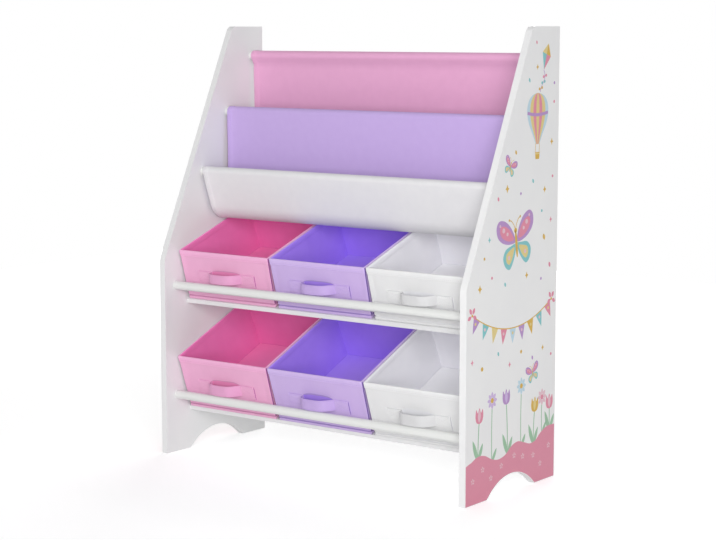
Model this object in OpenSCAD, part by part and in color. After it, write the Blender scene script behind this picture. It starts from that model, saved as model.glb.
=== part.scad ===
// Children's storage rack: two profiled side panels, a sling of cloth on four rods
// in the upper half, and two sloping boards with three open cloth bins on each.
// X runs across the front, -Y is the front, +Z is up, the origin is on the floor
// midway between the panels and midway between their front and rear edges.

/* [Overall] */
// Overall width over both side panels
overall_w = 635; // [500:1:900]
// Depth of the side panels from front edge to rear edge
overall_d = 266; // [256:1:320]
// Height of the side panels
overall_h = 740; // [725:1:800]
// Thickness of a side panel
panel_t = 12; // [11:0.5:18]

/* [Side panel outline] */
// Depth of the flat top of a side panel
top_depth = 81; // [70:1:110]
// Height at which the front edge starts to slope back
slope_start_h = 341; // [325:1:360]
// Radius of the corner between the slope and the flat top
top_corner_r = 15; // [4:1:25]
// Radius of the bend between the upright edge and the slope
knee_r = 30; // [5:1:60]
// Chord of the base arch along the floor
arch_chord = 142; // [100:1:170]
// Rise of the base arch
arch_rise = 30; // [18:1:36]
// Radius that rounds each foot towards the arch
foot_r = 5; // [2:0.5:8]

/* [Rods and rails] */
// Diameter of the four rods that carry the cloth
rod_d = 15; // [12:0.5:18]
// Diameter of the two front rails
rail_d = 15; // [12:0.5:16]
// Depth of each blind socket in a side panel
socket_depth = 8; // [5:0.5:9]
// Radial clearance of a rod or rail in its socket
socket_gap = 0.2; // [0.1:0.05:0.4]
// Top rear rod: distance in front of the rear edge
rod_a_back = 30; // [26:1:36]
// Top rear rod: distance of its axis below the panels' top
rod_a_drop = 51.5; // [40:0.5:70]
// Middle front rod: distance in front of the rear edge
rod_b_back = 96; // [92:1:104]
// Middle front rod: distance of its axis below the panels' top
rod_b_drop = 149; // [140:0.5:160]
// Low front rod: distance in front of the rear edge
rod_c_back = 163; // [160:1:166]
// Low front rod: height of its axis above the upper bins' lower front edge
rod_c_rise = 220.5; // [212:0.5:227]
// Low rear rod: distance in front of the rear edge
rod_d_back = 61; // [56:1:66]
// Low rear rod: height of its axis above the upper bins' lower front edge
rod_d_rise = 173; // [170:0.5:174]
// Front rails: distance of the axis behind the front edge
rail_set = 28.6; // [26:0.2:30]
// Upper front rail: height of its axis above the upper bins' lower front edge
upper_rail_rise = 26.2; // [25:0.2:26.6]
// Lower front rail: height of its axis above the lower bins' lower front edge
lower_rail_rise = 24.4; // [19:0.2:26]

/* [Cloth of the slings] */
// Thickness of the cloth
cloth_t = 1.1; // [0.8:0.1:1.4]
// Clearance between a rod and the sleeve sewn round it
sleeve_gap = 0.15; // [0.1:0.05:0.4]
// Gap between the cloth's side edge and the side panel
cloth_side_gap = 5.5; // [3:0.5:20]
// Upper pocket: height of its lowest point above the upper bins' lower front edge
upper_pocket_rise = 186.5; // [185:0.5:194]
// Lower pocket: height of its lowest point above the upper bins' lower front edge
lower_pocket_rise = 132.6; // [132:0.2:134]
// Lower pocket: distance of its lowest point in front of the rear edge
lower_pocket_back = 119; // [117:1:121]
// Lean of the lower pocket's front from the vertical, degrees
pocket_lean = 18; // [16:0.5:19]
// Bend radius behind the lower pocket's lowest point
pocket_rear_r = 24; // [20:1:26]

/* [Sloping boards] */
// Thickness of a board
board_t = 8; // [7:0.5:10]
// Length of a board along its slope
board_l = 216; // [212:1:220]
// Lip of board in front of the bins
board_lip = 1.5; // [0.5:0.5:4]
// Upper board: slope in degrees
upper_tilt = 19.8; // [19:0.1:20]
// Upper board: height of the bins' lower front edge
upper_front_h = 268; // [266:0.5:268.5]
// Upper board: distance of that edge behind the panels' front edge
upper_front_set = 57; // [56:0.5:60]
// Lower board: slope in degrees
lower_tilt = 23.8; // [22:0.1:24.5]
// Lower board: height of the bins' lower front edge
lower_front_h = 77; // [70:0.5:80]
// Lower board: distance of that edge behind the panels' front edge
lower_front_set = 61; // [60:0.5:64]

/* [Corner blocks under the boards] */
// Width of a corner block, along X
block_w = 18; // [16:1:24]
// Length of a corner block along the slope
block_l = 26; // [24:1:30]
// Height of a corner block below the board
block_h = 16; // [14:1:18]
// Front blocks: distance behind the board's front edge
block_front_set = 32; // [28:1:50]
// Rear blocks: distance in front of the board's rear edge
block_rear_set = 14; // [8:1:30]
// Diameter of a block screw's shank
screw_d = 3.5; // [3:0.1:4]
// Diameter of a block screw's head
screw_head_d = 7; // [6:0.2:8]
// Height of a block screw's head
screw_head_h = 2.4; // [2:0.1:3]
// Screw depth into a side panel
screw_in_panel = 9; // [6:0.5:10]
// Screw depth into a board
screw_in_board = 5.5; // [4:0.5:6]
// Radial clearance of a screw in its holes
screw_gap = 0.15; // [0.1:0.05:0.3]

/* [Bins] */
// Length of a bin's base along the slope
bin_depth = 208; // [200:1:210]
// Height of an upper bin square to its base
upper_bin_h = 89.5; // [84:0.5:90]
// Height of a lower bin square to its base
lower_bin_h = 98; // [88:0.5:102]
// How far an upper bin's front leans in at the rim
upper_bin_lean = 7.5; // [5:0.5:9]
// How far a lower bin's front leans in at the rim
lower_bin_lean = 6; // [4:0.5:8]
// Gap between neighbouring bins
bin_gap = 2.5; // [1.5:0.5:6]
// Play of a row of three bins between the panels, both ends together
row_play = 8; // [3:0.5:16]
// Part of that play which lies at the left end
row_play_left = 1.5; // [0.5:0.5:3]
// Thickness of a bin's wall, cloth over board
bin_wall_t = 2; // [1.5:0.1:3]
// Thickness of a bin's sewn bottom
bin_floor_t = 1.6; // [1:0.1:2.5]
// Height of the binding sewn over the rim
rim_h = 10; // [6:0.5:14]
// Thickness of that binding
rim_t = 0.8; // [0.5:0.1:1]
// Thickness of the loose stiff plate in a bin
plate_t = 2.4; // [1.5:0.1:4]
// Clearance round that plate
plate_gap = 1; // [0.4:0.1:3]

/* [Strap handles] */
// Width of the strap
strap_w = 18; // [14:0.5:19]
// Thickness of the strap
strap_t = 2; // [1.5:0.1:2.5]
// Length of the sewn patch at each end
patch_l = 33; // [20:1:34]
// Width of the sewn patch
patch_w = 24; // [18:1:26]
// Free length of the strap between the patches
loop_l = 62; // [50:1:80]
// How far the strap stands out in the middle
loop_out = 20; // [16:0.5:22]
// Upper bins: distance from the rim down to the strap's middle
upper_strap_drop = 43.5; // [38:0.5:44]
// Lower bins: distance from the rim down to the strap's middle
lower_strap_drop = 52; // [40:0.5:52]

/* [Hidden] */
$fn = 64;
inner_w = overall_w - 2 * panel_t;
front_y = -overall_d / 2;
rear_y = overall_d / 2;
top_y = rear_y - top_depth;
eps = 0.01;

// rods and rails as [y, z]
rod_a = [rear_y - rod_a_back, overall_h - rod_a_drop];
rod_b = [rear_y - rod_b_back, overall_h - rod_b_drop];
rod_c = [rear_y - rod_c_back, upper_front_h + rod_c_rise];
rod_d4 = [rear_y - rod_d_back, upper_front_h + rod_d_rise];
rail_up = [front_y + rail_set, upper_front_h + upper_rail_rise];
rail_low = [front_y + rail_set, lower_front_h + lower_rail_rise];

// sleeve sewn round a rod
sleeve_in = rod_d / 2 + sleeve_gap;
sleeve_out = sleeve_in + cloth_t;
cloth_w = inner_w - 2 * cloth_side_gap;
// how far a bend of cloth runs on into the piece that it meets, in degrees
lap = 2;

// upper pocket: outer faces at the middle rod's front and on the top rod's axis plane
up_front_y = rod_b[0] - sleeve_out;
up_rear_y = rod_a[0] + cloth_t / 2;
up_r = (up_rear_y - up_front_y) / 2;
up_c = [up_front_y + up_r, upper_front_h + upper_pocket_rise + up_r];

// lower pocket: straight front, front bend, rear bend, straight rear
low_bottom = [rear_y - lower_pocket_back, upper_front_h + lower_pocket_rise];
lean_n = [-cos(pocket_lean), -sin(pocket_lean)];
lean_top = rod_c + sleeve_out * lean_n;
low_dy = low_bottom[0] - lean_top[0];
low_dz = low_bottom[1] - lean_top[1];
low_r1 = (low_dy * cos(pocket_lean) + low_dz * sin(pocket_lean)) / (1 - sin(pocket_lean));
low_c1 = low_bottom + [0, low_r1];
low_c2 = low_bottom + [0, pocket_rear_r];
low_v = rod_d4 - low_c2;
rise = atan2(low_v[1], low_v[0]) + asin((pocket_rear_r - sleeve_out) / norm(low_v));
rise_n = [sin(rise), -cos(rise)];

// rows of bins: index 0 is the lower row, 1 the upper
tilt = [lower_tilt, upper_tilt];
row_y = [front_y + lower_front_set, front_y + upper_front_set];
row_z = [lower_front_h, upper_front_h];
bin_h = [lower_bin_h, upper_bin_h];
bin_lean = [lower_bin_lean, upper_bin_lean];
strap_drop = [lower_strap_drop, upper_strap_drop];
bin_w = (inner_w - 2 * bin_gap - row_play) / 3;
bin_x = [for (i = [0 : 2]) -inner_w / 2 + row_play_left + i * (bin_w + bin_gap)];
lean_a = [for (i = [0, 1]) atan(bin_lean[i] / bin_h[i])];

block_y = [-board_lip + block_front_set, board_l - board_lip - block_rear_set - block_l];
panel_screw_y = block_l * 0.25;
board_screw_y = block_l * 0.75;
panel_screw_z = block_h / 2;
// free depth past a screw's tip
tip_room = 0.5;

pink = "#e2a9ca";
purple = "#c4acdf";
white = "#e6e5e6";

// Lays a drawing made in (y, z) across X, centred, with the given width.
module across(width) {
    rotate([90, 0, 90]) translate([0, 0, -width / 2]) linear_extrude(height = width) children();
}

// Sliver between a convex corner and the arc of radius r that rounds it.
// p is the corner, a and b are points on its two edges.
module corner_sliver(p, a, b, r) {
    da = (a - p) / norm(a - p);
    db = (b - p) / norm(b - p);
    half = acos(da * db) / 2;
    reach = r / tan(half);
    mid = (da + db) / norm(da + db);
    centre = p + mid * (r / sin(half));
    difference() {
        polygon([p - mid, p + da * reach, centre, p + db * reach]);
        translate(centre) circle(r = r, $fn = 96);
    }
}

// Outline of a side panel in (y, z).
module panel_outline() {
    arch_r = (pow(arch_chord / 2, 2) + pow(arch_rise, 2)) / (2 * arch_rise);
    arch_z = arch_rise - arch_r;
    foot_y = sqrt(pow(arch_r + foot_r, 2) - pow(foot_r - arch_z, 2));
    touch = [foot_y, foot_r] + ([0, arch_z] - [foot_y, foot_r]) * foot_r / (arch_r + foot_r);
    low_front = [front_y, slope_start_h];
    top_front = [top_y, overall_h];
    difference() {
        polygon([[front_y, 0], [rear_y, 0], [rear_y, overall_h], top_front, low_front]);
        corner_sliver(top_front, low_front, [rear_y, overall_h], top_corner_r);
        corner_sliver(low_front, [front_y, 0], top_front, knee_r);
        translate([0, arch_z]) circle(r = arch_r, $fn = 128);
        for (s = [-1, 1]) scale([s, 1]) difference() {
            polygon([[foot_y, -1], [foot_y, foot_r], touch, [0, arch_z]]);
            translate([foot_y, foot_r]) circle(r = foot_r, $fn = 48);
        }
    }
}

// Places children in the frame of a row: Y up the slope, Z square to the board.
module on_row(row) {
    translate([0, row_y[row], row_z[row]]) rotate([tilt[row], 0, 0]) children();
}

// The four corner block places of a row; side is -1 at the left panel, 1 at the right.
module at_blocks(row, side) {
    on_row(row) for (y = block_y) translate([side * inner_w / 2, y, -board_t - block_h]) children();
}

module panel_board(side) {
    inner_x = side * inner_w / 2;
    difference() {
        translate([side * (inner_w + panel_t) / 2, 0, 0]) across(panel_t) panel_outline();
        for (p = [rod_a, rod_b, rod_c, rod_d4]) socket(side, p, rod_d);
        for (p = [rail_up, rail_low]) socket(side, p, rail_d);
        for (row = [0, 1]) at_blocks(row, side) translate([0, panel_screw_y, panel_screw_z])
            rotate([0, 90, 0]) screw_hole(2 * (screw_in_panel + tip_room));
    }
}

// Blind socket for a round rod or rail in a side panel's inner face.
module socket(side, p, d) {
    translate([side * (inner_w / 2 - 1), p[0], p[1]]) rotate([0, side * 90, 0])
        cylinder(d = d + 2 * socket_gap, h = socket_depth + 1);
}

module round_bar(p, d) {
    length = inner_w + 2 * socket_depth;
    translate([-length / 2, p[0], p[1]]) rotate([0, 90, 0]) cylinder(d = d, h = length);
}

module board(row) {
    difference() {
        on_row(row) translate([-inner_w / 2, -board_lip, -board_t]) cube([inner_w, board_l, board_t]);
        for (side = [-1, 1]) at_blocks(row, side) translate([-side * block_w / 2, board_screw_y, block_h])
            screw_hole(2 * (screw_in_board + tip_room));
    }
}

module corner_block(side) {
    difference() {
        translate([side > 0 ? -block_w : 0, 0, 0]) cube([block_w, block_l, block_h]);
        translate([-side * block_w / 2, panel_screw_y, panel_screw_z])
            rotate([0, 90, 0]) screw_hole(2 * block_w);
        translate([-side * block_w / 2, board_screw_y, block_h / 2]) screw_hole(2 * block_h);
    }
}

module screw_hole(length) {
    cylinder(d = screw_d + 2 * screw_gap, h = length, center = true, $fn = 24);
}

// A pan head screw: the head's seat is at the origin and the shank runs up Z.
module screw(length) {
    translate([0, 0, -screw_head_h]) cylinder(d = screw_head_d, h = screw_head_h, $fn = 32);
    translate([0, 0, -eps]) cylinder(d = screw_d, h = length + eps, $fn = 24);
}

// Cloth drawn in (y, z).
module sleeve_ring(p) {
    translate(p) difference() {
        circle(r = sleeve_out);
        circle(r = sleeve_in);
    }
}

// Part of a cloth bend: outer radius r round c, from angle a0 to angle a1.
module bend(c, r, a0, a1) {
    far = 2 * r;
    fan = [for (a = [a0, (a0 + a1) / 2, a1]) c + far * [cos(a), sin(a)]];
    intersection() {
        translate(c) difference() {
            circle(r = r, $fn = 128);
            circle(r = r - cloth_t, $fn = 128);
        }
        polygon([c, fan[0], fan[1], fan[2]]);
    }
}

// Straight run of cloth whose outer face goes from p to q, its thickness to the left.
module run(p, q) {
    u = (q - p) / norm(q - p);
    n = [-u[1], u[0]] * cloth_t;
    polygon([p, q, q + n, p + n]);
}

module bin_shell(row, col) {
    h = bin_h[row];
    slant = bin_lean[row] / h;
    top = h - rim_t;
    on_row(row) translate([bin_x[col] + bin_w / 2, 0, 0]) difference() {
        across(bin_w - 2 * rim_t) polygon([
            [rim_t, 0], [bin_depth - rim_t, 0], [bin_depth - rim_t, top], [rim_t + slant * top, top]]);
        across(bin_w - 2 * rim_t - 2 * bin_wall_t) polygon([
            [rim_t + bin_wall_t + slant * bin_floor_t, bin_floor_t],
            [bin_depth - rim_t - bin_wall_t, bin_floor_t],
            [bin_depth - rim_t - bin_wall_t, h + 1],
            [rim_t + bin_wall_t + slant * (h + 1), h + 1]]);
    }
}

// Binding folded over the rim: an inverted U all the way round.
module bin_rim(row, col) {
    h = bin_h[row];
    slant = bin_lean[row] / h;
    low = h - rim_h;
    wall = bin_wall_t + rim_t;
    on_row(row) translate([bin_x[col] + bin_w / 2, 0, 0]) difference() {
        across(bin_w) polygon([[slant * low, low], [bin_depth, low], [bin_depth, h], [slant * h, h]]);
        across(bin_w - 2 * wall - 2 * rim_t) polygon([
            [wall + rim_t + slant * (low - 1), low - 1], [bin_depth - wall - rim_t, low - 1],
            [bin_depth - wall - rim_t, h + 1], [wall + rim_t + slant * (h + 1), h + 1]]);
        difference() {
            across(bin_w - 2 * rim_t) polygon([
                [rim_t + slant * (low - 1), low - 1], [bin_depth - rim_t, low - 1],
                [bin_depth - rim_t, h - rim_t], [rim_t + slant * (h - rim_t), h - rim_t]]);
            across(bin_w - 2 * wall) polygon([
                [wall + slant * (low - 2), low - 2], [bin_depth - wall, low - 2],
                [bin_depth - wall, h], [wall + slant * h, h]]);
        }
    }
}

module bin_plate(row, col) {
    slant = bin_lean[row] / bin_h[row];
    room_x = bin_w - 2 * (rim_t + bin_wall_t + plate_gap);
    y0 = rim_t + bin_wall_t + plate_gap + slant * (bin_floor_t + plate_t);
    y1 = bin_depth - rim_t - bin_wall_t - plate_gap;
    on_row(row) translate([bin_x[col] + (bin_w - room_x) / 2, y0, bin_floor_t])
        cube([room_x, y1 - y0, plate_t]);
}

// Bulge of the strap at x, for a free half length and a height at the middle.
function bulge(x, half_l, out) = out * (1 - pow(abs(x) / half_l, 4));

// Area between the wall and one face of the strap, seen from above.
module loop_shape(half_l, out, behind) {
    steps = 12;
    bow = [for (i = [-steps : steps]) let (x = i / steps * half_l) [x, -bulge(x, half_l, out)]];
    polygon(concat([[-half_l, behind]], bow, [[half_l, behind]]));
}

// Strap handle on a bin's front: two sewn patches and a free loop that hangs level.
module bin_handle(row, col) {
    up = bin_h[row] / cos(lean_a[row]) - strap_drop[row];
    half_l = loop_l / 2;
    half_in = half_l - strap_t / 2;
    // the loop runs this far into the wall, and is then cut off flush with it
    behind = strap_w / 2;
    on_row(row) translate([bin_x[col] + bin_w / 2, rim_t, 0]) rotate([-lean_a[row], 0, 0])
        translate([0, 0, up]) {
        for (s = [-1, 1]) translate([s * (loop_l + patch_l - strap_t / 2) / 2, -strap_t / 2, 0])
            cube([patch_l, strap_t, patch_w], center = true);
        intersection() {
            rotate([lean_a[row] - tilt[row], 0, 0]) translate([0, 0, -strap_w / 2])
                linear_extrude(height = strap_w) difference() {
                    loop_shape(half_l, loop_out, behind);
                    loop_shape(half_in, loop_out - strap_t, behind + 1);
                }
            translate([-loop_l, -2 * loop_out, -2 * strap_w]) cube([2 * loop_l, 2 * loop_out, 4 * strap_w]);
        }
    }
}

module side_panel_left() { color(white) panel_board(-1); }
module side_panel_right() { color(white) panel_board(1); }
module upper_board() { color(white) board(1); }
module lower_board() { color(white) board(0); }
module upper_front_rail() { color(white) round_bar(rail_up, rail_d); }
module lower_front_rail() { color(white) round_bar(rail_low, rail_d); }
module sling_rod_top_rear() { color(white) round_bar(rod_a, rod_d); }
module sling_rod_middle_front() { color(white) round_bar(rod_b, rod_d); }
module sling_rod_low_front() { color(white) round_bar(rod_c, rod_d); }
module sling_rod_low_rear() { color(white) round_bar(rod_d4, rod_d); }

// Rear wall of the upper pocket and the rear half of its bend.
module sling_back_pink() {
    color(pink) across(cloth_w) {
        sleeve_ring(rod_a);
        run([up_rear_y, up_c[1]], [up_rear_y, rod_a[1] - (sleeve_in + cloth_t / 2)]);
        bend(up_c, up_r, 270, 360);
    }
}

// Front wall of the upper pocket, tangent to its rod, and the front half of the bend.
module sling_middle_purple() {
    color(purple) across(cloth_w) {
        sleeve_ring(rod_b);
        difference() {
            run([up_front_y, rod_b[1]], [up_front_y, up_c[1]]);
            translate(rod_b) circle(r = sleeve_in);
        }
        bend(up_c, up_r, 180, 270);
    }
}

// Lower pocket between the low front rod and the low rear rod.
module sling_front_white() {
    lean_end = low_c1 + low_r1 * lean_n;
    rise_start = low_c2 + pocket_rear_r * rise_n;
    rise_top = rod_d4 + sleeve_out * rise_n;
    color(white) across(cloth_w) {
        sleeve_ring(rod_c);
        sleeve_ring(rod_d4);
        difference() {
            union() {
                run(lean_top, lean_end);
                run(rise_start, rise_top);
            }
            translate(rod_c) circle(r = sleeve_in);
            translate(rod_d4) circle(r = sleeve_in);
        }
        bend(low_c1, low_r1, 180 + pocket_lean - lap, 270 + lap);
        bend(low_c2, pocket_rear_r, 270 - lap, 270 + rise + lap);
    }
}

module corner_blocks() {
    color(white) for (row = [0, 1], side = [-1, 1]) at_blocks(row, side) corner_block(side);
}

module block_screws() {
    color("silver") for (row = [0, 1], side = [-1, 1]) at_blocks(row, side) {
        translate([-side * block_w, panel_screw_y, panel_screw_z])
            rotate([0, side * 90, 0]) screw(block_w + screw_in_panel);
        translate([-side * block_w / 2, board_screw_y, 0]) screw(block_h + screw_in_board);
    }
}

module upper_pink_shell() { color(pink) bin_shell(1, 0); }
module upper_pink_rim() { color(pink) bin_rim(1, 0); }
module upper_pink_handle() { color(pink) bin_handle(1, 0); }
module upper_pink_plate() { color(pink) bin_plate(1, 0); }
module upper_purple_shell() { color(purple) bin_shell(1, 1); }
module upper_purple_rim() { color(purple) bin_rim(1, 1); }
module upper_purple_handle() { color(purple) bin_handle(1, 1); }
module upper_purple_plate() { color(purple) bin_plate(1, 1); }
module upper_white_shell() { color(white) bin_shell(1, 2); }
module upper_white_rim() { color(white) bin_rim(1, 2); }
module upper_white_handle() { color(white) bin_handle(1, 2); }
module upper_white_plate() { color(white) bin_plate(1, 2); }
module lower_pink_shell() { color(pink) bin_shell(0, 0); }
module lower_pink_rim() { color(pink) bin_rim(0, 0); }
module lower_pink_handle() { color(pink) bin_handle(0, 0); }
module lower_pink_plate() { color(pink) bin_plate(0, 0); }
module lower_purple_shell() { color(purple) bin_shell(0, 1); }
module lower_purple_rim() { color(purple) bin_rim(0, 1); }
module lower_purple_handle() { color(purple) bin_handle(0, 1); }
module lower_purple_plate() { color(purple) bin_plate(0, 1); }
module lower_white_shell() { color(white) bin_shell(0, 2); }
module lower_white_rim() { color(white) bin_rim(0, 2); }
module lower_white_handle() { color(white) bin_handle(0, 2); }
module lower_white_plate() { color(white) bin_plate(0, 2); }

side_panel_left();
side_panel_right();
upper_board();
lower_board();
upper_front_rail();
lower_front_rail();
sling_rod_top_rear();
sling_rod_middle_front();
sling_rod_low_front();
sling_rod_low_rear();
sling_back_pink();
sling_middle_purple();
sling_front_white();
corner_blocks();
block_screws();
upper_pink_shell();
upper_pink_rim();
upper_pink_handle();
upper_pink_plate();
upper_purple_shell();
upper_purple_rim();
upper_purple_handle();
upper_purple_plate();
upper_white_shell();
upper_white_rim();
upper_white_handle();
upper_white_plate();
lower_pink_shell();
lower_pink_rim();
lower_pink_handle();
lower_pink_plate();
lower_purple_shell();
lower_purple_rim();
lower_purple_handle();
lower_purple_plate();
lower_white_shell();
lower_white_rim();
lower_white_handle();
lower_white_plate();
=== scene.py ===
"""Looks of a children's storage rack: painted boards, cloth sling pockets and sewn cloth bins.

X runs across the front, -Y is the front and +Z is up. Sizes are written in millimetres and
turned to metres by MM. A row's own frame has Y up the slope of its board and Z square to it.
"""

import math

import bmesh
import bpy
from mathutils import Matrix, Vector, noise


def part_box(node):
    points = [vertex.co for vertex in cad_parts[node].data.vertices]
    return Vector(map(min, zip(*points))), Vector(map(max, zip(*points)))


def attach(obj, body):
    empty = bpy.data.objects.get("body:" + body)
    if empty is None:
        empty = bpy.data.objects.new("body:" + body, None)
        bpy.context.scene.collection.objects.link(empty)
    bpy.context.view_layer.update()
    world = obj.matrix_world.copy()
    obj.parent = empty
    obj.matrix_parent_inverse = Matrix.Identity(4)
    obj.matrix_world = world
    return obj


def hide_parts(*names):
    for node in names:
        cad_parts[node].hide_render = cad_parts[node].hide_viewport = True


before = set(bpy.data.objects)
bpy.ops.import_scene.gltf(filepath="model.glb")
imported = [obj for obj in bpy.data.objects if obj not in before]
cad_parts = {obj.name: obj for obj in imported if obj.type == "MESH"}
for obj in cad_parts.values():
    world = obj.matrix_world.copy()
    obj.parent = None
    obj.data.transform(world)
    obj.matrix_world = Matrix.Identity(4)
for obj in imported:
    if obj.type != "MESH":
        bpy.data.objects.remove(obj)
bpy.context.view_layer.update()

MM = 0.001

# what the frame gives
PANEL_LOW, PANEL_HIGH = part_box("side_panel_right")
INNER_X = PANEL_LOW.x
OUTER_X = PANEL_HIGH.x
FRONT_Y = PANEL_LOW.y
REAR_Y = PANEL_HIGH.y
PANEL_H = PANEL_HIGH.z

# side panel outline
TOP_DEPTH = 81 * MM
SLOPE_START = 341 * MM
TOP_CORNER_R = 15 * MM
KNEE_R = 30 * MM
ARCH_CHORD = 142 * MM
ARCH_RISE = 30 * MM
ARCH_R = ((ARCH_CHORD / 2) ** 2 + ARCH_RISE**2) / (2 * ARCH_RISE)
FOOT_R = 5 * MM
EASED_EDGE = 0.7 * MM

# sloping boards
BOARD_L = 216 * MM
BOARD_LIP = 1.5 * MM
BOARD_T = 8 * MM

# rods and the cloth on them; TAIL_IN is how many thicknesses a sleeve's tail lies behind its sheet
ROD_R = 7.5 * MM
CLOTH_T = 1.1 * MM
SLEEVE_R = ROD_R + 0.15 * MM + CLOTH_T / 2
SLEEVE_SEAM = 16 * MM
SEAM_LAP = 7 * MM
TAIL_IN = 1.05
CLOTH_SIDE_GAP = 5.5 * MM
HEM_W = 10 * MM
HEM_T = 0.35 * MM
UPPER_POCKET_Z = 454.5 * MM
LOWER_POCKET = Vector((14 * MM, 403.6 * MM))
POCKET_LEAN = math.radians(18)
POCKET_REAR_R = 24 * MM

# a sheet's broad and fine waves, how far its middle draws in, and its mesh's steps
BROAD_WAVE = 0.9 * MM
FINE_WAVE = 0.35 * MM
DRAW_IN = 0.0035
SHEET_STEP = 7 * MM
SHEET_COLUMNS = 34

# bins
BIN_DEPTH = 208 * MM
WALL_T = 2 * MM
BIN_FLOOR_T = 1.6 * MM
RIM_H = 10 * MM
RIM_T = 0.8 * MM
BIN_CORNER_R = 2.4 * MM
BIN_TAPER = 1.7 * MM
BASE_SEAM_Z = 6.5 * MM
PLATE_T = 2.4 * MM
PLATE_GAP = 1.0 * MM
WALL_BOW = 0.5 * MM
WALL_WAVE = 0.45 * MM
RIM_WAVE = 0.35 * MM
RIM_SEAM = 2.6 * MM

# the walls' fold creases, how far the painted shade of the gap between neighbouring bins reaches along a side
# wall from its corner, and how far a corner's smooth shading reaches along them
CREASE_IN = 9 * MM
CREASE_W = 0.9 * MM
OUTER_CREASE = 0.12 * MM
INNER_CREASE = 0.08 * MM
CORNER_SHADE_W = 1.8 * MM
CORNER_FADE = 0.2 * MM

# strap handles; STRAP_LIES is how far a strap's middle lies off its wall, and STRAP_SEAM how far
# its two stitch lines run from its middle line
STRAP_W = 18 * MM
STRAP_T = 2 * MM
LOOP_LEFT = 30.5 * MM
LOOP_RIGHT = 35 * MM
LOOP_OUT = 19.5 * MM
PATCH_FROM = 31 * MM
PATCH_TO = 63 * MM
PATCH_LOW = 14 * MM
PATCH_HIGH = 12 * MM
PATCH_T = 0.7 * MM
STRAP_LIES = 0.45 * STRAP_T
STRAP_SEAM = 0.86 * STRAP_W / 2

# how far a strap's middle line is raised, and the share of the way from its wall's lean to level
# that its rail lifts the loop
STRAP_RAISED = 2.5 * MM
LOOP_LIFTED = 0.5
STRAP_LOW = STRAP_RAISED - STRAP_W / 2
STRAP_HIGH = STRAP_RAISED + STRAP_W / 2

# the strap handle's materials, in the order of its slots; the last three are painted shade: the shadow behind
# the loop, the paler band that softens its top, and the shadow along a patch's outer edge
STRAP, SEWN, CLOTH, SHADOW_STRIP, SHADOW_FADE, EDGE_SHADE = range(6)

# sewing
STITCH_L = 2.7 * MM
STITCH_GAP = 1.1 * MM
THREAD_R = 0.27 * MM

# floor, in metres: half its side, and where its own light starts and ends to grow from FLOOR_LIFT
FLOOR_HALF = 2.4
FADE_FROM = 0.9
FADE_TO = 2.3
FLOOR_LIFT = 0.4

# light: the surroundings' level, and each lamp's place, width, height and watts
SKY_LEVEL = 0.38
LIT_POINT = (0, 0, 0.35)
FRONT_LIGHT = ((2.3, -3.2, 1.15), 2.6, 2.0, 119)
BACK_LIGHT = ((-1.0, 3.3, 1.2), 2.6, 1.8, 62)

# camera, fitted to the corners of both side panels in the photograph
CAMERA_PLACE = (1858.1 * MM, -2463.7 * MM, 735.9 * MM)
CAMERA_DOWN = 7.428
CAMERA_TURN = 36.86
CAMERA_LENS = 93.0
CAMERA_SENSOR = 36.0

COLOURS = ("pink", "purple", "white")


class Row:
    """One sloping board with its three bins.

    front_y and front_z place the bins' lower front edge. The front wall leans in by bin_lean and bulges
    by belly at its foot. strap_drop lies between rim and strap, and strap_top is the share of the strap's
    upper half that shows above its middle line.
    """

    def __init__(self, name, tilt, front_y, front_z, bin_h, bin_lean, belly, strap_drop, strap_top):
        self.name = name
        self.tilt = math.radians(tilt)
        self.front = (front_y * MM, front_z * MM)
        self.bin_h = bin_h * MM
        self.belly = belly * MM
        self.slant = (bin_lean + belly) / bin_h
        self.lean = math.atan(self.slant)
        self.strap_up = self.bin_h / math.cos(self.lean) - strap_drop * MM
        self.strap_top = strap_top

    def place(self, x, y, z):
        """A point of the row's own frame, in the rack's frame."""
        c, s = math.cos(self.tilt), math.sin(self.tilt)
        return Vector((x, self.front[0] + y * c - z * s, self.front[1] + y * s + z * c))


ROWS = (
    Row("upper", 19.8, -76, 268, 89.5, 7.5, belly=0, strap_drop=43.5, strap_top=0.64),
    Row("lower", 23.8, -72, 77, 98, 6, belly=3.5, strap_drop=52, strap_top=0.92),
)


# colours and materials


def srgb(code, share=1.0):
    """An sRGB hex value as linear red, green and blue, each times share, and alpha."""
    parts = [int(code[i : i + 2], 16) / 255 for i in (1, 3, 5)]
    linear = [p / 12.92 if p <= 0.04045 else ((p + 0.055) / 1.055) ** 2.4 for p in parts]
    return tuple(share * p for p in linear) + (1.0,)


def feed(tree, node, inputs):
    """Links the outputs to the node's inputs, and sets its other inputs to plain values."""
    for socket, value in inputs.items():
        if isinstance(value, bpy.types.NodeSocket):
            tree.links.new(value, node.inputs[socket])
        else:
            node.inputs[socket].default_value = value


def add(tree, kind, inputs=None, **settings):
    """One node with its settings and inputs."""
    node = tree.nodes.new(kind)
    for name, value in settings.items():
        setattr(node, name, value)
    feed(tree, node, inputs or {})
    return node


def start_material(name):
    """A new material: its tree, its shader and the coordinates that stay on the piece."""
    material = bpy.data.materials.new(name)
    material.use_nodes = True
    tree = material.node_tree
    shader = tree.nodes["Principled BSDF"]
    place = add(tree, "ShaderNodeTexCoord").outputs["Object"]
    return material, tree, shader, place


def mottle(tree, place, size, low, high, detail=3.0):
    """Cloudy patches about size across, as a value from low to high."""
    cloud = add(tree, "ShaderNodeTexNoise", {"Vector": place, "Scale": 1 / size, "Detail": detail})
    reach = {"Value": cloud.outputs["Fac"], "From Min": 0.3, "From Max": 0.7, "To Min": low, "To Max": high}
    return add(tree, "ShaderNodeMapRange", reach).outputs["Result"]


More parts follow.
